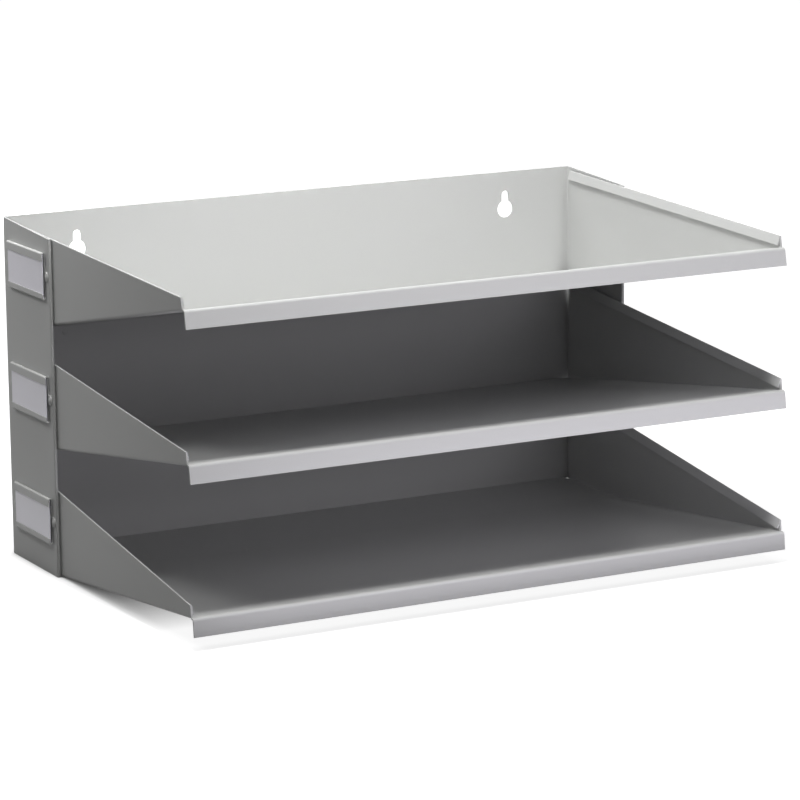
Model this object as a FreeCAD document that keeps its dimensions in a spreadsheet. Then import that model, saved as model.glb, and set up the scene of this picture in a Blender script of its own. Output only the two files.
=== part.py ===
import FreeCAD, Part
import os
import re
import Sketcher

# A sorter of folded sheet steel: a back panel with two side columns carries three shallow trays that fan
# out towards the front, and the left column carries three card holders.
# X runs to the right, Y to the wall, Z up. The back panel's wall face is half the depth behind the origin.

# Driving dimensions, in millimetres and degrees
SIZES = {
    # Frame: back panel and columns, folded from one sheet
    "frame_width": 345.0,
    "frame_height": 181.5,
    "column_depth": 61.5,
    "column_drop": 3.5,
    "sheet": 0.8,
    "bend_radius": 0.8,
    "hem_width": 3.5,
    "hem_gap": 0.2,
    # Keyholes for hanging on a wall
    "keyhole_spacing": 261.4,
    "keyhole_drop": 21.0,
    "keyhole_radius": 5.0,
    "keyhole_slot": 4.6,
    "keyhole_rise": 10.4,
    # Trays: heights are those of the floor's underside where it leaves the columns
    "top_rise": 133.0,
    "middle_rise": 67.5,
    "top_tilt": 11.7,
    "middle_tilt": 8.33,
    "bottom_tilt": 5.49,
    "tray_reach": 163.7,
    "tray_play": 0.1,
    "lip_height": 8.8,
    "side_front_height": 6.9,
    "side_set_back": 2.5,
    "side_angle": 13.7,
    "side_rear_gap": 6.3,
    "edge_flange": 8.1,
    "edge_fold_angle": 15.0,
    "edge_fold_radius": 0.45,
    "rear_flange": 7.7,
    "rear_relief": 5.0,
    "level_rear_relief": 2.0,
    "tray_rivet_inset": 33.0,
    # Card holders on the left column
    "holder_low": 28.7,
    "holder_forward": 2.0,
    "holder_pitch": 64.7,
    "holder_length": 47.0,
    "holder_height": 24.5,
    "holder_sheet": 0.4,
    "holder_channel": 1.1,
    "holder_top_lip": 4.4,
    "holder_bottom_lip": 3.0,
    "ear_length": 4.4,
    "ear_width": 5.0,
    # Cards that slide in the holders
    "card_length": 46.6,
    "card_thickness": 0.3,
    "card_play": 0.15,
    # Rivets
    "rivet_head_radius": 1.8,
    "rivet_head_height": 0.45,
    "rivet_shank_radius": 1.2,
    "rivet_play": 0.05,
    # Cuts run this far past the faces that they open
    "overrun": 6.0,
}

# Part of the full half round that a fold's two fillets take
fold_share = 0.95
# How near a corner has to lie to the place that it is looked up by
NEAR = SIZES["sheet"] / 100

doc = FreeCAD.newDocument("desk_sorter")
sheet = doc.addObject("Spreadsheet::Sheet", "sizes")
for row, (alias, number) in enumerate(SIZES.items(), start=1):
    sheet.set("A%d" % row, alias)
    sheet.set("B%d" % row, str(number))
    sheet.setAlias("B%d" % row, alias)
doc.recompute()


def named(text):
    """The formula with each driving dimension written as a cell of the sheet."""
    return re.sub("[a-z_]+", lambda word: "sizes." + word[0] if word[0] in SIZES else word[0], text)


def value(text):
    """The formula's value, worked out from the sheet."""
    return float(sheet.evalExpression(named(text)))


def bind(thing, prop, text):
    thing.setExpression(prop, named(text))


# Sizes that follow from the driving ones
HALF_WIDTH = "(frame_width / 2)"
HEM = "(2 * sheet + hem_gap)"
HEM_FOLD = "(%s * (sheet + hem_gap / 2))" % fold_share
OUTER_BEND = "(bend_radius + sheet)"
TRAY_HALF = "(frame_width / 2 - %s - tray_play)" % HEM
SIDE_REACH = "(tray_reach - side_set_back)"
FOLD_APEX = "(edge_fold_radius / tan(edge_fold_angle / 2))"
SIDE_FRONT = "(side_front_height - edge_fold_radius)"
FLANGE_BACK = "(sheet + tray_play)"
FLANGE_FRONT = "(2 * sheet + tray_play)"
DEPTH = "(column_depth + tray_reach * cos(bottom_tilt) + lip_height * sin(bottom_tilt))"
HOLDER_DEPTH = "(2 * holder_sheet + holder_channel)"
EAR_MIDDLE = "(holder_length / 2 + ear_length / 2)"
HOLDER_MIDDLE = "(-column_depth / 2 - holder_forward)"
RIVET_HOLE = "(rivet_shank_radius + rivet_play)"

# Each tray: its floor's height and tilt where it leaves the columns, and whether the floor turns level there
TRAYS = {
    "top": ("top_rise", "top_tilt", False),
    "middle": ("middle_rise", "middle_tilt", False),
    "bottom": ("0", "bottom_tilt", True),
}
# Each card holder's count of pitches above the lowest
HOLDERS = {"top": "2", "middle": "1", "bottom": "0"}


def new_body(label, x="0", y="0", z="0", turn=None):
    """A body for one piece, placed from the middle of the wall face's bottom edge and turned about Z."""
    body = doc.addObject("PartDesign::Body", label)
    if turn:
        upright = FreeCAD.Vector(0, 0, 1)
        body.Placement = FreeCAD.Placement(FreeCAD.Vector(), FreeCAD.Rotation(upright, turn))
    bind(body, "Placement.Base.x", x)
    bind(body, "Placement.Base.y", "%s / 2 + %s" % (DEPTH, y))
    bind(body, "Placement.Base.z", z)
    return body


def origin_feature(body, role):
    return next(feature for feature in body.Origin.OriginFeatures if feature.Role == role)


def new_sketch(body, name, role, shift=("0", "0", "0"), tilt=None):
    """A sketch on one of the body's planes, shifted in the plane's axes and tilted about its first axis."""
    drawing = body.newObject("Sketcher::SketchObject", body.Label + "_" + name)
    drawing.AttachmentSupport = [(origin_feature(body, role), "")]
    drawing.MapMode = "FlatFace"
    if tilt:
        first_axis = FreeCAD.Vector(1, 0, 0)
        drawing.AttachmentOffset = FreeCAD.Placement(
            FreeCAD.Vector(), FreeCAD.Rotation(first_axis, value(tilt)))
        bind(drawing, "AttachmentOffset.Rotation.Angle", tilt)
    for axis, text in zip("xyz", shift):
        bind(drawing, "AttachmentOffset.Base." + axis, text)
    return drawing


def fix_point(drawing, geometry, vertex, place):
    """Ties a point of the sketch to its two formulas, measured from the sketch's origin."""
    for kind, text in zip(("DistanceX", "DistanceY"), place):
        drawing.addConstraint(Sketcher.Constraint(kind, -1, 1, geometry, vertex, value(text)))
        bind(drawing, "Constraints[%d]" % (drawing.ConstraintCount - 1), text)


def outline(drawing, corners, arcs={}):
    """A closed outline through corners that are pairs of formulas.

    Edges are straight, except those that arcs names by their first corner's number, with the arc's centre.
    """
    points = [FreeCAD.Vector(value(a), value(b), 0) for a, b in corners]
    first = drawing.GeometryCount
    ends = []
    for step, (start, end) in enumerate(zip(points, points[1:] + points[:1])):
        if step in arcs:
            centre = FreeCAD.Vector(value(arcs[step][0]), value(arcs[step][1]), 0)
            half_way = start + end - centre * 2
            half_way.Length = (start - centre).Length
            drawing.addGeometry(Part.Arc(start, centre + half_way, end), False)
        else:
            drawing.addGeometry(Part.LineSegment(start, end), False)
        drawn = drawing.Geometry[first + step]
        forward = (drawn.StartPoint - start).Length < (drawn.EndPoint - start).Length
        ends.append((1, 2) if forward else (2, 1))
    for step in range(len(points)):
        following = (step + 1) % len(points)
        joined = (first + step, ends[step][1], first + following, ends[following][0])
        drawing.addConstraint(Sketcher.Constraint("Coincident", *joined))
    for step, corner in enumerate(corners):
        if step in arcs:
            before = (step - 1) % len(points)
            fix_point(drawing, first + before, ends[before][1], corner)
            height = arcs[step][1]
            drawing.addConstraint(Sketcher.Constraint("DistanceY", -1, 1, first + step, 3, value(height)))
            bind(drawing, "Constraints[%d]" % (drawing.ConstraintCount - 1), height)
        else:
            fix_point(drawing, first + step, ends[step][0], corner)


def circle(drawing, centre, radius):
    """A round hole's edge, with its centre and radius as formulas."""
    middle = FreeCAD.Vector(value(centre[0]), value(centre[1]), 0)
    upright = FreeCAD.Vector(0, 0, 1)
    index = drawing.addGeometry(Part.Circle(middle, upright, value(radius)), False)
    fix_point(drawing, index, 3, centre)
    drawing.addConstraint(Sketcher.Constraint("Radius", index, value(radius)))
    bind(drawing, "Constraints[%d]" % (drawing.ConstraintCount - 1), radius)


def extrude(body, drawing, kind, length, symmetric=False, backwards=False):
    """A pad or a pocket of the sketch, one way or to both sides alike."""
    feature = body.newObject("PartDesign::" + kind, drawing.Name + "_" + kind.lower())
    feature.Profile = drawing
    feature.Reversed = backwards
    if symmetric:
        feature.SideType = "Symmetric"
    bind(feature, "Length", length)
    drawing.Visibility = False
    doc.recompute()
    return feature


def mirror(body, originals, role):
    """The features copied to the other side of one of the body's planes."""
    feature = body.newObject("PartDesign::Mirrored", originals[0].Name + "_mirrored")
    feature.Originals = originals
    feature.MirrorPlane = (origin_feature(body, role), [""])
    body.Tip = feature
    doc.recompute()
    return feature


def edges_along(shape, first, second, places):
    """Names of the edges whose two ends lie at one of the places, seen along the remaining axis."""
    found = []
    for number, edge in enumerate(shape.Edges, start=1):
        ends = [(getattr(vertex, first), getattr(vertex, second)) for vertex in edge.Vertexes]
        for place in places:
            target = (value(place[0]), value(place[1]))
            if all(abs(a - target[0]) < NEAR and abs(b - target[1]) < NEAR for a, b in ends):
                found.append("Edge%d" % number)
    return found


def round_edges(body, names, radius):
    """A fillet on the named edges of the body as it stands."""
    base = body.Tip
    feature = body.newObject("PartDesign::Fillet", base.Name + "_bend")
    feature.Base = (base, names)
    bind(feature, "Radius", radius)
    doc.recompute()
    return feature


def negative(text):
    return "-(%s)" % text


def both_sides(x, y):
    """A place and its mirror image across the middle."""
    return [(x, y), (negative(x), y)]


def make_frame():
    """Back panel and columns as one folded section, with hemmed front edges, keyholes and rivet holes."""
    body = new_body("frame")
    inner_layer = "(%s - sheet - hem_gap)" % HALF_WIDTH
    hem_inside = "(%s - %s)" % (HALF_WIDTH, HEM)
    half = [
        (HALF_WIDTH, "0"),
        (HALF_WIDTH, "-column_depth"),
        (hem_inside, "-column_depth"),
        (hem_inside, "hem_width - column_depth"),
        (inner_layer, "hem_width - column_depth"),
        (inner_layer, "sheet - column_depth"),
        ("(%s - sheet)" % HALF_WIDTH, "sheet - column_depth"),
        ("(%s - sheet)" % HALF_WIDTH, "-sheet"),
    ]
    section = new_sketch(body, "section", "XY_Plane")
    outline(section, half + [(negative(x), y) for x, y in reversed(half)])
    extrude(body, section, "Pad", "frame_height")

    def upright(places):
        return edges_along(body.Tip.Shape, "X", "Y", places)

    round_edges(body, upright(both_sides(HALF_WIDTH, "0")), OUTER_BEND)
    round_edges(body, upright(both_sides("(%s - sheet)" % HALF_WIDTH, "-sheet")), "bend_radius")
    round_edges(body, upright(both_sides(HALF_WIDTH, "-column_depth")), HEM_FOLD)
    round_edges(body, upright(both_sides(hem_inside, "-column_depth")), HEM_FOLD)

    slope = new_sketch(body, "top_slope", "YZ_Plane")
    outline(slope, [
        ("0", "frame_height"),
        ("overrun", "frame_height"),
        ("overrun", "frame_height + overrun"),
        ("-column_depth - overrun", "frame_height + overrun"),
        ("-column_depth - overrun", "frame_height - column_drop * (1 + overrun / column_depth)"),
    ])
    extrude(body, slope, "Pocket", "frame_width + overrun", symmetric=True)

    centre = ("keyhole_spacing / 2", "frame_height - keyhole_drop")
    slot_end = "%s + keyhole_rise - keyhole_slot / 2" % centre[1]
    through_panel = "4 * sheet"
    keyhole = new_sketch(body, "keyhole", "XZ_Plane")
    circle(keyhole, centre, "keyhole_radius")
    slot = new_sketch(body, "slot", "XZ_Plane")
    outline(slot, [
        ("%s - keyhole_slot / 2" % centre[0], centre[1]),
        ("%s + keyhole_slot / 2" % centre[0], centre[1]),
        ("%s + keyhole_slot / 2" % centre[0], slot_end),
        ("%s - keyhole_slot / 2" % centre[0], slot_end),
    ])
    slot_top = new_sketch(body, "slot_top", "XZ_Plane")
    circle(slot_top, (centre[0], slot_end), "keyhole_slot / 2")
    drawings = (keyhole, slot, slot_top)
    cuts = [extrude(body, drawing, "Pocket", through_panel, symmetric=True) for drawing in drawings]
    mirror(body, cuts, "YZ_Plane")

    panel_holes = new_sketch(body, "panel_holes", "XZ_Plane")
    for rise, tilt, level in TRAYS.values():
        if not level:
            for place in both_sides("%s - tray_rivet_inset" % HALF_WIDTH, flange_middle(rise, tilt)):
                circle(panel_holes, place, RIVET_HOLE)
    extrude(body, panel_holes, "Pocket", through_panel, symmetric=True)

    column_holes = new_sketch(body, "column_holes", "YZ_Plane", ("0", "0", negative(HALF_WIDTH)))
    for pitches in HOLDERS.values():
        for end in ("-", "+"):
            place = ("%s %s %s" % (HOLDER_MIDDLE, end, EAR_MIDDLE), holder_rise(pitches))
            circle(column_holes, place, RIVET_HOLE)
    extrude(body, column_holes, "Pocket", "2 * sheet + hem_gap", symmetric=True)
    return body


def underside(y, rise, tilt):
    """Height of a straight floor's underside at a distance y from the wall face."""
    return "(%s - (%s + column_depth) * tan(%s))" % (rise, y, tilt)


def flange_middle(rise, tilt):
    """Height of the middle of a rear flange, where its rivets go."""
    return "(%s - rear_flange / 2)" % underside(negative(FLANGE_FRONT), rise, tilt)


def holder_rise(pitches):
    return "(holder_low + %s * holder_pitch)" % pitches


def on_tray(along, above, rise, tilt):
    """A place in the tray's own axes: along the floor from the columns' front, and above its underside."""
    y = "-column_depth - %s * cos(%s) + %s * sin(%s)" % (along, tilt, above, tilt)
    z = "%s + %s * sin(%s) + %s * cos(%s)" % (rise, along, tilt, above, tilt)
    return y, z


def trough_section(drawing, height):
    """The tray's floor and sides seen from the front, as a square-cornered channel of sheet."""
    inside = "(%s - sheet)" % TRAY_HALF
    half = [(TRAY_HALF, "0"), (TRAY_HALF, height), (inside, height), (inside, "sheet")]
    outline(drawing, half + [(negative(x), y) for x, y in reversed(half)])


def make_tray(name, rise, tilt, level):
    """One tray: floor and sides, a turned-down front lip, a rear flange and folded-in top edges."""
    body = new_body("tray_" + name)
    run_back = "column_depth / cos(%s)" % tilt
    tallest = "(%s + (%s + %s) * tan(side_angle) + overrun)" % (SIDE_FRONT, SIDE_REACH, run_back)
    if level:
        front = new_sketch(body, "front_trough", "XZ_Plane", ("0", rise, "column_depth"), negative(tilt))
        trough_section(front, tallest)
        extrude(body, front, "Pad", SIDE_REACH)
        rear = new_sketch(body, "rear_trough", "XZ_Plane", ("0", "0", "side_rear_gap"))
        trough_section(rear, tallest)
        extrude(body, rear, "Pad", "column_depth - side_rear_gap")
    else:
        foot = underside("0", rise, tilt)
        front = new_sketch(body, "trough", "XZ_Plane", ("0", foot, "0"), negative(tilt))
        trough_section(front, tallest)
        extrude(body, front, "Pad", "%s + %s" % (run_back, SIDE_REACH))

    # Sides cut to their wedge outline, with a rear edge that is upright
    front_top = on_tray(SIDE_REACH, SIDE_FRONT, rise, tilt)
    edge_slope = "(side_angle - %s)" % tilt
    rear_y = "(-side_rear_gap)"
    rear_top = "(%s + (%s - (%s)) * tan(%s))" % (front_top[1], rear_y, front_top[0], edge_slope)
    rear_floor = "0" if level else underside(rear_y, rise, tilt)
    trim = new_sketch(body, "trim", "YZ_Plane")
    above_all = "%s + %s + tray_reach" % (rise, tallest)
    outline(trim, [
        ("column_depth", "-column_depth"),
        ("column_depth", above_all),
        ("-2 * column_depth - tray_reach", above_all),
        ("-2 * column_depth - tray_reach", "-column_depth"),
    ])
    outline(trim, [
        (rear_y, "%s - overrun" % rear_floor),
        (rear_y, rear_top),
        front_top,
        on_tray(SIDE_REACH, "(-overrun)", rise, tilt),
        on_tray("0", "(-overrun)", rise, tilt),
    ])
    extrude(body, trim, "Pocket", "frame_width", symmetric=True)

    # Bends between the floor and the sides
    def floor_edges(x):
        names = []
        for number, edge in enumerate(body.Tip.Shape.Edges, start=1):
            ends = [vertex.Point for vertex in edge.Vertexes]
            across = all(abs(abs(point.x) - value(x)) < NEAR for point in ends)
            lengthwise = abs(ends[0].x - ends[-1].x) < NEAR
            long_enough = edge.Length > value("column_depth / 2")
            low = edge.CenterOfMass.z < value(on_tray("tray_reach / 2", "sheet * 2", rise, tilt)[1])
            flat_slope = abs(ends[0].z - ends[-1].z) < abs(ends[0].y - ends[-1].y)
            downward = (ends[0].z - ends[-1].z) * (ends[0].y - ends[-1].y) < NEAR
            if across and lengthwise and long_enough and low and flat_slope and downward:
                names.append("Edge%d" % number)
        return names

    round_edges(body, floor_edges(TRAY_HALF), OUTER_BEND)
    round_edges(body, floor_edges("(%s - sheet)" % TRAY_HALF), "bend_radius")

    # Front lip
    lip = new_sketch(body, "lip", "YZ_Plane")
    lip_inside = "(tray_reach - sheet)"
    outline(lip, [
        on_tray(SIDE_REACH, "0", rise, tilt),
        on_tray(SIDE_REACH, "sheet", rise, tilt),
        on_tray("tray_reach", "sheet", rise, tilt),
        on_tray("tray_reach", "(-lip_height)", rise, tilt),
        on_tray(lip_inside, "(-lip_height)", rise, tilt),
        on_tray(lip_inside, "0", rise, tilt),
    ])
    extrude(body, lip, "Pad", "2 * %s" % TRAY_HALF, symmetric=True)
    outer_bends = [on_tray("tray_reach", "sheet", rise, tilt)]
    inner_bends = [on_tray(lip_inside, "0", rise, tilt)]

    # Rear of the floor, turned down against the back panel where there is room below
    rear_strip = new_sketch(body, "rear", "YZ_Plane")
    back = negative(FLANGE_BACK)
    fore = negative(FLANGE_FRONT)
    if level:
        outline(rear_strip, [(rear_y, "0"), (rear_y, "sheet"), (back, "sheet"), (back, "0")])
    else:
        thick = "sheet / cos(%s)" % tilt
        flange_foot = "%s - rear_flange" % underside(fore, rise, tilt)
        outline(rear_strip, [
            (rear_y, rear_floor),
            (rear_y, "%s + %s" % (rear_floor, thick)),
            (back, "%s + %s" % (underside(back, rise, tilt), thick)),
            (back, flange_foot),
            (fore, flange_foot),
            (fore, underside(fore, rise, tilt)),
        ])
        outer_bends.append((back, "%s + %s" % (underside(back, rise, tilt), thick)))
        inner_bends.append((fore, underside(fore, rise, tilt)))
    relief = "level_rear_relief" if level else "rear_relief"
    extrude(body, rear_strip, "Pad", "2 * (%s - %s)" % (TRAY_HALF, relief), symmetric=True)
    round_edges(body, edges_along(body.Tip.Shape, "Y", "Z", outer_bends), OUTER_BEND)
    round_edges(body, edges_along(body.Tip.Shape, "Y", "Z", inner_bends), "bend_radius")
    if not level:
        holes = new_sketch(body, "rivet_holes", "XZ_Plane", ("0", "0", FLANGE_FRONT))
        for place in both_sides("%s - tray_rivet_inset" % HALF_WIDTH, flange_middle(rise, tilt)):
            circle(holes, place, RIVET_HOLE)
        extrude(body, holes, "Pocket", "2 * (%s - tray_play)" % FLANGE_FRONT, symmetric=True)

    # Top edges folded in and down over a round crest, leaving an open fold
    flange = new_sketch(body, "edge_flange", "XZ_Plane", ("0", rear_top, "side_rear_gap"), edge_slope)
    inside = "(%s - sheet)" % TRAY_HALF
    tip_x = "(%s - edge_flange * sin(edge_fold_angle))" % TRAY_HALF
    tip_z = "(%s - edge_flange * cos(edge_fold_angle))" % FOLD_APEX
    crest_x = "(%s - %s * sin(edge_fold_angle))" % (TRAY_HALF, FOLD_APEX)
    crest_z = "(%s * (1 - cos(edge_fold_angle)))" % FOLD_APEX
    corners = [
        (TRAY_HALF, "0"),
        (crest_x, crest_z),
        (tip_x, tip_z),
        ("%s + sheet * cos(edge_fold_angle)" % tip_x, "%s - sheet * sin(edge_fold_angle)" % tip_z),
        (inside, "%s - sheet / tan(edge_fold_angle / 2)" % FOLD_APEX),
        (inside, "0"),
    ]
    outline(flange, corners, {0: ("%s - edge_fold_radius" % TRAY_HALF, "0")})
    edge_run = "(%s - (%s)) / cos(%s)" % (rear_y, front_top[0], edge_slope)
    edge_pad = extrude(body, flange, "Pad", edge_run)
    mirror(body, [edge_pad], "YZ_Plane")
    return body


def make_holder(name, pitches):
    """A card holder: a plate whose top and bottom edges roll over to hold a card, with two riveted ears."""
    body = new_body("label_holder_" + name, negative(HALF_WIDTH), HOLDER_MIDDLE, holder_rise(pitches))
    top = "(holder_height / 2)"
    front = negative(HOLDER_DEPTH)
    front_inside = "(holder_sheet - %s)" % HOLDER_DEPTH
    roof = "(%s - holder_sheet)" % top
    section = new_sketch(body, "section", "XZ_Plane")
    outline(section, [
        ("0", negative(top)),
        ("0", top),
        (front, top),
        (front, "%s - holder_top_lip" % top),
        (front_inside, "%s - holder_top_lip" % top),
        (front_inside, roof),
        ("-holder_sheet", roof),
        ("-holder_sheet", negative(roof)),
        (front_inside, negative(roof)),
        (front_inside, "holder_bottom_lip - %s" % top),
        (front, "holder_bottom_lip - %s" % top),
        (front, negative(top)),
    ])
    extrude(body, section, "Pad", "holder_length", symmetric=True)
    outer = [(x, z) for x in ("0", front) for z in (top, negative(top))]
    inner = [(x, z) for x in ("-holder_sheet", front_inside) for z in (roof, negative(roof))]
    outer_fold = "%s * %s / 2" % (fold_share, HOLDER_DEPTH)
    inner_fold = "%s * holder_channel / 2" % fold_share
    round_edges(body, edges_along(body.Tip.Shape, "X", "Z", outer), outer_fold)
    round_edges(body, edges_along(body.Tip.Shape, "X", "Z", inner), inner_fold)

    ear = new_sketch(body, "ear", "YZ_Plane")
    ear_end = "(holder_length / 2 + ear_length)"
    outline(ear, [
        ("holder_length / 2", "-ear_width / 2"),
        (ear_end, "-ear_width / 2"),
        (ear_end, "ear_width / 2"),
        ("holder_length / 2", "ear_width / 2"),
    ])
    ear_pad = extrude(body, ear, "Pad", "holder_sheet", backwards=True)
    mirror(body, [ear_pad], "XZ_Plane")
    tips = [(y, z) for y in (ear_end, negative(ear_end)) for z in ("ear_width / 2", "-ear_width / 2")]
    round_edges(body, edges_along(body.Tip.Shape, "Y", "Z", tips), "%s * ear_width / 2" % fold_share)
    holes = new_sketch(body, "rivet_holes", "YZ_Plane")
    for end in (EAR_MIDDLE, negative(EAR_MIDDLE)):
        circle(holes, (end, "0"), RIVET_HOLE)
    extrude(body, holes, "Pocket", "4 * holder_sheet", symmetric=True)
    return body


def make_card(name, pitches):
    """A blank card that slides in its holder, clear of the rivet heads."""
    body = new_body("label_card_" + name, negative(HALF_WIDTH), HOLDER_MIDDLE, holder_rise(pitches))
    half_height = "(holder_height / 2 - holder_sheet - 2 * card_play)"
    front = "(%s - holder_sheet - card_play)" % HOLDER_DEPTH
    face = new_sketch(body, "face", "YZ_Plane", ("0", "0", negative(front)))
    outline(face, [
        ("-card_length / 2", negative(half_height)),
        ("card_length / 2", negative(half_height)),
        ("card_length / 2", half_height),
        ("-card_length / 2", half_height),
    ])
    extrude(body, face, "Pad", "card_thickness")
    return body


def make_rivets(label, x, y, z, grip, spacing, turn=None):
    """Two domed rivets in a row: the head stands on its seat and the shank fills the grip behind it."""
    body = new_body(label, x, y, z, turn)
    profile = new_sketch(body, "profile", "XY_Plane")
    dome_radius = "((rivet_head_radius ^ 2 + rivet_head_height ^ 2) / (2 * rivet_head_height))"
    crown = ("-rivet_head_height", "0")
    rim = ("0", "rivet_head_radius")
    shank = "rivet_shank_radius"
    corners = [crown, (grip, "0"), (grip, shank), ("0", shank), rim]
    outline(profile, corners, {len(corners) - 1: ("%s - rivet_head_height" % dome_radius, "0")})
    spin = body.newObject("PartDesign::Revolution", label + "_turned")
    spin.Profile = profile
    spin.ReferenceAxis = (profile, ["H_Axis"])
    doc.recompute()
    row = body.newObject("PartDesign::LinearPattern", label + "_row")
    row.Originals = [spin]
    row.Direction = (origin_feature(body, "Y_Axis"), [""])
    row.Occurrences = 2
    bind(row, "Length", spacing)
    body.Tip = row
    doc.recompute()
    return body


pieces = [make_frame()]
for name, (rise, tilt, level) in TRAYS.items():
    pieces.append(make_tray(name, rise, tilt, level))
    if not level:
        pieces.append(make_rivets(
            "tray_rivets_" + name,
            "%s - tray_rivet_inset" % HALF_WIDTH,
            negative(FLANGE_FRONT),
            flange_middle(rise, tilt),
            FLANGE_FRONT,
            "2 * (%s - tray_rivet_inset)" % HALF_WIDTH,
            turn=90,
        ))
for name, pitches in HOLDERS.items():
    pieces.append(make_holder(name, pitches))
    pieces.append(make_card(name, pitches))
    pieces.append(make_rivets(
        "holder_rivets_" + name,
        "-%s - holder_sheet" % HALF_WIDTH,
        "%s - %s" % (HOLDER_MIDDLE, EAR_MIDDLE),
        holder_rise(pitches),
        "holder_sheet + sheet",
        "2 * %s" % EAR_MIDDLE,
    ))

doc.recompute()
failed = [thing.Label for thing in doc.Objects if {"Invalid", "Error"} & set(thing.State)]
if failed:
    raise RuntimeError("not computed: " + ", ".join(failed))
for piece in pieces:
    if piece.Shape.isNull() or not piece.Shape.isValid() or not piece.Shape.Solids:
        raise RuntimeError("not a valid solid: " + piece.Label)

os.makedirs("parts", exist_ok=True)
for piece in pieces:
    piece.Shape.exportStep("parts/%s.step" % piece.Label)
    box = piece.Shape.BoundBox
    print("%-22s solids %d volume %10.1f  x %8.2f %8.2f  y %8.2f %8.2f  z %8.2f %8.2f" % (
        piece.Label, len(piece.Shape.Solids), piece.Shape.Volume,
        box.XMin, box.XMax, box.YMin, box.YMax, box.ZMin, box.ZMax))
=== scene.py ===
# %% [markdown]
# # A fanned sorter of painted sheet steel
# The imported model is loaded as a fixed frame: every solid already has its real shape, size and place,
# in metres. What is left for Blender is the look of the enamel and the cards, and a plain studio. The
# solids stay as they are, because a folded sheet is true to size in CAD and a second mesh over it would
# only blur its bends.

# %% Load the frame
import bpy
import numpy as np
from mathutils import Matrix, Vector

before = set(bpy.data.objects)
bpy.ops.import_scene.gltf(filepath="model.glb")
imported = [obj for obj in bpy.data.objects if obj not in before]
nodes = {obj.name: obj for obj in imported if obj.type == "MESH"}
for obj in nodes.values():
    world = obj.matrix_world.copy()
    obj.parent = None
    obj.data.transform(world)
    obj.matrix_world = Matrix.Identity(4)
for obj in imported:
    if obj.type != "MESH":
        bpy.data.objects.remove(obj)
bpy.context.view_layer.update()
scene = bpy.context.scene
print("nodes:", ", ".join(sorted(nodes)))

# %% [markdown]
# ## The camera
# The place, the turn and the lens come from a fit to corners of the photograph. A camera could be aimed
# at a point instead, but that would lose the slight roll of the fit, so its own right and up directions
# are given. A long lens far away keeps the tray edges nearly parallel, and the lens isn't shifted, so
# that every other view stays centred too.

# %% Place the camera
camera_place = Vector((-0.8764, -1.6493, 0.4818))
camera_right = Vector((0.88148, -0.47213, -0.00939))
camera_up = Vector((0.10624, 0.17890, 0.97811))
sensor_width = 36.0
lens_length = 163.7

camera_data = bpy.data.cameras.new("studio_camera")
camera_data.sensor_width = sensor_width
camera_data.lens = lens_length
camera = bpy.data.objects.new("studio_camera", camera_data)
scene.collection.objects.link(camera)
axes = Matrix((camera_right, camera_up, camera_right.cross(camera_up))).transposed()
camera.matrix_world = Matrix.Translation(camera_place) @ axes.to_4x4()
scene.camera = camera
print("camera at", tuple(round(value, 3) for value in camera_place), "with a lens of", lens_length)

# %% [markdown]
# ## Node helpers
# Every finish here is a small node tree, in which colours and values flow along links to a surface
# shader. Such trees are often drawn by hand in the shader editor. In a script, one helper adds a node
# with its plain values and another starts a material with a shader on its output, so that a tree reads
# as a list of what feeds what.

# %% Helpers for node trees
def add_node(tree, kind, **inputs):
    """One node of that kind, with plain values set on its inputs by name (an underscore for a space)."""
    node = tree.nodes.new(kind)
    for name, value in inputs.items():
        node.inputs[name.replace("_", " ")].default_value = value
    return node


def new_material(name):
    """An empty material with a surface shader joined to its output."""
    material = bpy.data.materials.new(name)
    material.use_nodes = True
    tree = material.node_tree
    tree.nodes.clear()
    output = tree.nodes.new("ShaderNodeOutputMaterial")
    shader = tree.nodes.new("ShaderNodeBsdfPrincipled")
    tree.links.new(shader.outputs["BSDF"], output.inputs["Surface"])
    return material, tree, shader


print("helpers:", add_node.__name__, new_material.__name__)

# %% [markdown]
# ## Surface grain
# Sprayed enamel and card both vary a little: a slow drift in tone, over centimetres on a sheet and
# millimetres on a rivet, and a fine tooth of about a millimetre or less. A painted image could hold
# both, but every folded sheet would have to be laid out flat for it. One shared group works them out
# from Object coordinates instead, so the grain stays on the surface in every view, and each finish sets
# its own scales and strengths.

# %% The grain group and its sockets
def new_group(name, inputs, outputs):
    """A shader group with these sockets, and its two end nodes: what it is given and its result."""
    group = bpy.data.node_groups.new(name, "ShaderNodeTree")
    for way, sockets in (("INPUT", inputs), ("OUTPUT", outputs)):
        for socket, kind in sockets.items():
            group.interface.new_socket(name=socket, in_out=way, socket_type=kind)
    return group, group.nodes.new("NodeGroupInput"), group.nodes.new("NodeGroupOutput")


colour_kind = "NodeSocketColor"
number_kind = "NodeSocketFloat"
grain_inputs = {
    "Colour": colour_kind,
    "Drift Scale": number_kind,
    "Drift": number_kind,
    "Tooth Scale": number_kind,
    "Roughness": number_kind,
    "Roughness Drift": number_kind,
}
grain_outputs = {"Colour": colour_kind, "Roughness": number_kind, "Height": number_kind}
grain_group, given, result = new_group("surface_grain", grain_inputs, grain_outputs)
print("group:", grain_group.name, "with inputs", ", ".join(grain_inputs))

# %% [markdown]
# ## Two noises
# The drift and the tooth are two noises of different size. One noise with many octaves could give both,
# but then neither could be changed without the other.

# %% Noises in the grain group
place = grain_group.nodes.new("ShaderNodeTexCoord")
slow = add_node(grain_group, "ShaderNodeTexNoise", Detail=3.0, Roughness=0.55)
fine = add_node(grain_group, "ShaderNodeTexNoise", Detail=2.0, Roughness=0.5)
join = grain_group.links.new
for noise, scale in ((slow, "Drift Scale"), (fine, "Tooth Scale")):
    join(place.outputs["Object"], noise.inputs["Vector"])
    join(given.outputs[scale], noise.inputs["Scale"])
print("noises:", slow.name, fine.name)

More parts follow.
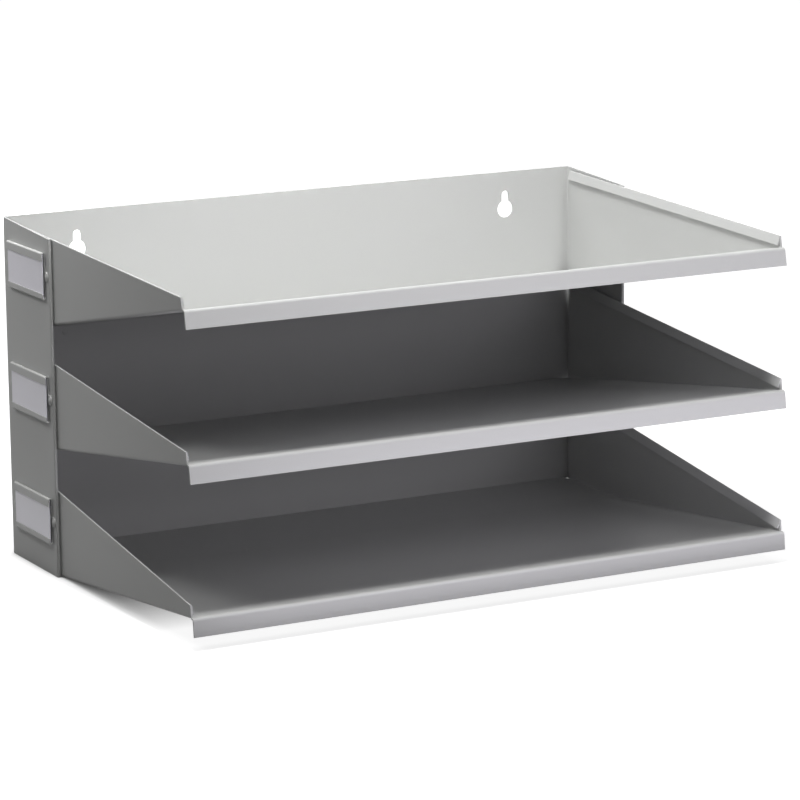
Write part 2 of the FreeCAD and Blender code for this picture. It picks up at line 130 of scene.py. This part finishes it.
# %% [markdown]
# ## What the noises change
# The slow noise swings the colour and the roughness a little up and down around the values that a
# finish gives, and the fine one goes out as a height for a bump. Dirt or wear could be added in the
# same way, but the coat is clean, so the swing is all that it gets.

# %% Results of the grain group
def drifted(amount):
    """1 + amount x (slow noise - a half) x 2, with the amount from the group's input of that name."""
    swing = add_node(grain_group, "ShaderNodeMapRange", To_Min=-1.0, To_Max=1.0)
    swing.clamp = False
    factor = grain_group.nodes.new("ShaderNodeMath")
    factor.operation = "MULTIPLY_ADD"
    factor.inputs[2].default_value = 1.0
    join(slow.outputs["Fac"], swing.inputs["Value"])
    join(swing.outputs["Result"], factor.inputs[0])
    join(given.outputs[amount], factor.inputs[1])
    return factor.outputs["Value"]


tint = grain_group.nodes.new("ShaderNodeVectorMath")
tint.operation = "SCALE"
join(given.outputs["Colour"], tint.inputs["Vector"])
join(drifted("Drift"), tint.inputs["Scale"])
join(tint.outputs["Vector"], result.inputs["Colour"])
rough = grain_group.nodes.new("ShaderNodeMath")
rough.operation = "MULTIPLY"
join(given.outputs["Roughness"], rough.inputs[0])
join(drifted("Roughness Drift"), rough.inputs[1])
join(rough.outputs["Value"], result.inputs["Roughness"])
join(fine.outputs["Fac"], result.inputs["Height"])
print("group filled:", len(grain_group.nodes), "nodes")

# %% [markdown]
# ## A finish on the shared grain
# A finish is one surface shader. The group feeds its colour, its roughness and a bump, and the gloss,
# which is the same all over, is set on the shader itself. The tooth is a bump and not geometry, because
# it is only hundredths of a millimetre deep.

# %% Make a finish
def grained(name, colour, roughness, specular, drift_scale, drift, rough_drift, tooth_scale, tooth_depth):
    """A material whose colour, roughness and bump come from the grain, with its gloss set on the shader."""
    material, tree, shader = new_material(name)
    grain = tree.nodes.new("ShaderNodeGroup")
    grain.node_tree = grain_group
    grain.inputs["Colour"].default_value = (*colour, 1.0)
    grain.inputs["Drift Scale"].default_value = drift_scale
    grain.inputs["Drift"].default_value = drift
    grain.inputs["Tooth Scale"].default_value = tooth_scale
    grain.inputs["Roughness"].default_value = roughness
    grain.inputs["Roughness Drift"].default_value = rough_drift
    bump = add_node(tree, "ShaderNodeBump", Strength=1.0, Distance=tooth_depth)
    tree.links.new(grain.outputs["Height"], bump.inputs["Height"])
    tree.links.new(grain.outputs["Colour"], shader.inputs["Base Color"])
    tree.links.new(grain.outputs["Roughness"], shader.inputs["Roughness"])
    tree.links.new(bump.outputs["Normal"], shader.inputs["Normal"])
    shader.inputs["Specular IOR Level"].default_value = specular
    return material


print("finishes are made by", grained.__name__)

# %% [markdown]
# ## Enamel and card
# The sheet is sprayed with a light grey enamel, a trace green. One plain colour would do from afar, but
# a slow drift keeps the large panels from looking flat. The gloss is kept low, because the left faces
# are seen at a slant: there a stronger gloss would mirror the white ground and wash the shade out.
# Rivets and holders carry the same coat, slightly darker and glossier. The cards are blank, faintly
# cool paper with a soft sheen.

# %% Finishes
enamel = grained(
    "grey_enamel", colour=(0.585, 0.590, 0.580), roughness=0.36, specular=0.11,
    drift_scale=9.0, drift=0.025, rough_drift=0.12, tooth_scale=900.0, tooth_depth=0.00002,
)
holder_enamel = grained(
    "holder_enamel", colour=(0.575, 0.580, 0.570), roughness=0.38, specular=0.20,
    drift_scale=30.0, drift=0.03, rough_drift=0.15, tooth_scale=1400.0, tooth_depth=0.00001,
)
rivet_enamel = grained(
    "rivet_enamel", colour=(0.55, 0.555, 0.545), roughness=0.38, specular=0.20,
    drift_scale=200.0, drift=0.04, rough_drift=0.2, tooth_scale=2500.0, tooth_depth=0.00001,
)
card_paper = grained(
    "card_paper", colour=(0.92, 0.90, 0.99), roughness=0.35, specular=0.8,
    drift_scale=40.0, drift=0.02, rough_drift=0.05, tooth_scale=2600.0, tooth_depth=0.00001,
)
print("finishes:", ", ".join(finish.name for finish in (enamel, holder_enamel, rivet_enamel, card_paper)))

# %% [markdown]
# ## Which piece wears what
# A piece's name begins with its kind, so a short table from the start of a name to a finish dresses
# them all. The trays' rivets come before the trays, because both names start alike and the first match
# is taken. Only the material slots are filled, and the meshes stay as the CAD made them.

# %% Dress the pieces
finishes = (
    ("label_card", card_paper),
    ("label_holder", holder_enamel),
    ("holder_rivets", rivet_enamel),
    ("tray_rivets", rivet_enamel),
    ("tray", enamel),
    ("frame", enamel),
)
for name, piece in nodes.items():
    finish = next(finish for start, finish in finishes if name.startswith(start))
    for slot in piece.material_slots:
        slot.material = finish
    print(name, "->", finish.name, "vertices", len(piece.data.vertices))

# %% [markdown]
# ## The floor
# The photograph's ground is plain white, without an edge. A curved backdrop could give that, but other
# views would show its bend, so the floor is one large flat square. It lies a little below the part,
# because two faces in the same plane show as noise.

# %% Floor
floor_half_size = 12.0
floor_height = -0.0003


def make_floor(half_size, height, side_points=3):
    """A flat square: x and y run over a grid from -half_size to half_size, at one height.

    A face joins a point, the next one in x, the next one in both and the next one in y.
    """
    steps = np.linspace(-half_size, half_size, side_points)
    x, y = np.meshgrid(steps, steps, indexing="ij")
    points = np.stack([x.ravel(), y.ravel(), np.full(x.size, height)], axis=1)
    spans = np.arange(side_points - 1)
    corner = (spans[:, None] * side_points + spans[None, :]).ravel()
    faces = np.stack([corner, corner + side_points, corner + side_points + 1, corner + 1], axis=1)
    mesh = bpy.data.meshes.new("studio_floor")
    mesh.from_pydata(points.tolist(), [], faces.tolist())
    made = bpy.data.objects.new("studio_floor", mesh)
    scene.collection.objects.link(made)
    return made


floor = make_floor(floor_half_size, floor_height)
print("floor:", len(floor.data.polygons), "faces")

# %% [markdown]
# ## A white ground that gives little light back
# A floor that was white only by its lamps would need more light than the part can take, and would throw
# much of it up under the trays. So the floor and the world each have two sides: a white one for rays
# that see them from the camera, in a gloss or through glass, and a dim one for light that bounces. A
# light path node tells the two kinds of ray apart.

# %% Split what is seen from what bounces
def seen_directly(tree):
    """1 for rays from the camera, or seen in a gloss or through glass; 0 for light that bounces."""
    path = tree.nodes.new("ShaderNodeLightPath")
    first = tree.nodes.new("ShaderNodeMath")
    first.operation = "MAXIMUM"
    second = tree.nodes.new("ShaderNodeMath")
    second.operation = "MAXIMUM"
    tree.links.new(path.outputs["Is Camera Ray"], first.inputs[0])
    tree.links.new(path.outputs["Is Glossy Ray"], first.inputs[1])
    tree.links.new(first.outputs["Value"], second.inputs[0])
    tree.links.new(path.outputs["Is Transmission Ray"], second.inputs[1])
    return second.outputs["Value"]


def split_output(tree, output_kind, bounced, seen):
    """Joins both sides to the output: bounced where seen_directly gives 0, seen where it gives 1."""
    mix = tree.nodes.new("ShaderNodeMixShader")
    output = tree.nodes.new(output_kind)
    tree.links.new(seen_directly(tree), mix.inputs["Fac"])
    tree.links.new(bounced, mix.inputs[1])
    tree.links.new(seen, mix.inputs[2])
    tree.links.new(mix.outputs["Shader"], output.inputs["Surface"])


print("helpers:", seen_directly.__name__, split_output.__name__)

# %% [markdown]
# ## The floor's material
# The seen side glows white, over a pale matt layer that keeps a faint shadow. The glow is a little
# weaker near the part, by the distance from the origin, and an ambient occlusion node paints shade into
# it within about a centimetre of the part: a painted contact shadow, darkest in the creases under it. A
# shadow painted into a fixed image would be simpler, but it would stay behind when a card slides.

# %% Floor material
# How far from the part the painted contact shadow reaches, in metres.
painted_shadow_reach = 0.012
glow_near, glow_far = 0.92, 1.0
near_distance, far_distance = 0.35, 1.6
white = (1.0, 1.0, 1.0, 1.0)
pale_grey = (0.45, 0.45, 0.45, 1.0)
dark_grey = (0.06, 0.06, 0.06, 1.0)

floor_material = bpy.data.materials.new("studio_floor")
floor_material.use_nodes = True
ground = floor_material.node_tree
ground.nodes.clear()
glow = ground.nodes.new("ShaderNodeEmission")
# Painted contact shadow: ambient occlusion darkens the glow's colour within this reach of the part.
painted_contact_shadow = add_node(ground, "ShaderNodeAmbientOcclusion", Color=white, Distance=painted_shadow_reach)
spot = ground.nodes.new("ShaderNodeNewGeometry")
away = ground.nodes.new("ShaderNodeVectorMath")
away.operation = "LENGTH"
strength = add_node(
    ground, "ShaderNodeMapRange",
    From_Min=near_distance, From_Max=far_distance, To_Min=glow_near, To_Max=glow_far,
)
pale = add_node(ground, "ShaderNodeBsdfDiffuse", Color=pale_grey)
dim = add_node(ground, "ShaderNodeBsdfDiffuse", Color=dark_grey)
shown = ground.nodes.new("ShaderNodeAddShader")
ground.links.new(spot.outputs["Position"], away.inputs[0])
ground.links.new(away.outputs["Value"], strength.inputs["Value"])
ground.links.new(strength.outputs["Result"], glow.inputs["Strength"])
ground.links.new(painted_contact_shadow.outputs["Color"], glow.inputs["Color"])
ground.links.new(glow.outputs["Emission"], shown.inputs[0])
ground.links.new(pale.outputs["BSDF"], shown.inputs[1])
split_output(ground, "ShaderNodeOutputMaterial", dim.outputs["BSDF"], shown.outputs["Shader"])
floor.data.materials.append(floor_material)
print("floor material:", len(ground.nodes), "nodes")

# %% [markdown]
# ## A softbox
# A studio softbox is a lit rectangle of cloth, and Blender's area light acts as one. Its power could be
# given in watts, but the right number changes with the distance, so this helper takes a level instead:
# how much of its own colour a matt surface shows when it faces the light.

# %% Make a softbox
def softbox(name, place, target, width, depth, level, colour=(1.0, 1.0, 1.0), spread=180.0):
    """A rectangular light aimed at a point, where level 1 shows a facing surface there at its own colour.

    Its power is level x pi squared x the distance squared. A spread under 180 degrees gathers the same
    power into a narrower beam, so a gridded light needs a much lower level.
    """
    lamp = bpy.data.lights.new(name, "AREA")
    lamp.color = colour
    lamp.shape = "RECTANGLE"
    lamp.size = width
    lamp.size_y = depth
    lamp.spread = np.radians(spread)
    aim = Vector(target) - Vector(place)
    lamp.energy = level * np.pi ** 2 * aim.length_squared
    box = bpy.data.objects.new(name, lamp)
    box.rotation_mode = "QUATERNION"
    box.rotation_quaternion = aim.to_track_quat("-Z", "Y")
    box.location = place
    box.visible_camera = False
    scene.collection.objects.link(box)
    return box


print("lights are made by", softbox.__name__)

# %% [markdown]
# ## The lights above
# In the photograph the main light is above: the top tray is bright, and the outer left faces and the
# spaces under the trays are in shade. One sun lamp could give that with hard shadows; a softbox high
# above the left front only grazes the left faces, and its size softens the shadows that the trays throw
# on the floors below. Its level stops short of clipping the top tray's floor, which only other views
# show. The top tray's back panel needs more than that, so a second softbox in front has a grid, a
# narrow spread that lets its light pass over the top lip and hardly reach the trays below. A weak thin
# strip above on the right lifts the top tray's inside and the lips' bends a little.

# %% Lights above
softbox(
    "overhead_light", place=(-0.16, -0.19, 1.00), target=(0.0, 0.0, 0.14),
    width=0.16, depth=0.34, level=1.19,
)
softbox(
    "panel_light", place=(0.0, -0.50, 0.72), target=(0.0, 0.11, 0.157),
    width=0.40, depth=0.06, level=0.0125, spread=32.0,
)
softbox(
    "bend_strip", place=(0.25, -0.18, 0.85), target=(0.0, -0.10, 0.12),
    width=0.60, depth=0.03, level=0.12,
)

# %% [markdown]
# ## The lights around
# A photographer fills shade with white cards that pass light on. Here each card is a softbox of its
# own, which can be placed and dimmed by itself. A small one behind on the left makes the left faces
# fade from rear to front. One lights the back panel from behind, no higher than its top edge, so that
# it shows in views from there and adds nothing in the main one. A weak one in front reaches under the
# trays, and one on the ground in front lifts the lips; these two are faintly cool, as the lips in the
# photograph are.

# %% Lights around
cool_tint = (1.0, 0.97, 1.06)
softbox(
    "left_card", place=(-0.36, 0.26, 0.44), target=(-0.17, 0.06, 0.15),
    width=0.16, depth=0.16, level=0.46,
)
softbox(
    "rear_card", place=(0.25, 1.20, 0.09), target=(0.0, 0.11, 0.09),
    width=0.60, depth=0.16, level=0.32,
)
softbox(
    "front_card", place=(0.42, -1.20, 0.24), target=(0.0, -0.11, 0.12),
    width=0.8, depth=0.40, level=0.13, colour=cool_tint,
)
softbox(
    "bounce_card", place=(0.13, -0.312, 0.002), target=(0.13, -0.312, 1.0),
    width=0.60, depth=0.36, level=0.135, colour=cool_tint,
)

# %% [markdown]
# ## The world
# Behind the floor the world is split in the same way: white where it is seen, and only a trace of light
# on the part, so that the softboxes shape it. A picture of a studio could stand here instead, but a
# plain white is what the photograph shows. The view transform is Standard, which shows a colour as it
# is written.

# %% World
seen_strength = 1.0
fill_strength = 0.02

world = bpy.data.worlds.new("studio")
scene.world = world
world.use_nodes = True
sky = world.node_tree
sky.nodes.clear()
backdrop = add_node(sky, "ShaderNodeBackground", Color=white, Strength=seen_strength)
fill = add_node(sky, "ShaderNodeBackground", Color=white, Strength=fill_strength)
split_output(sky, "ShaderNodeOutputWorld", fill.outputs["Background"], backdrop.outputs["Background"])
scene.view_settings.view_transform = "Standard"
print("world:", world.name, "view transform:", scene.view_settings.view_transform)
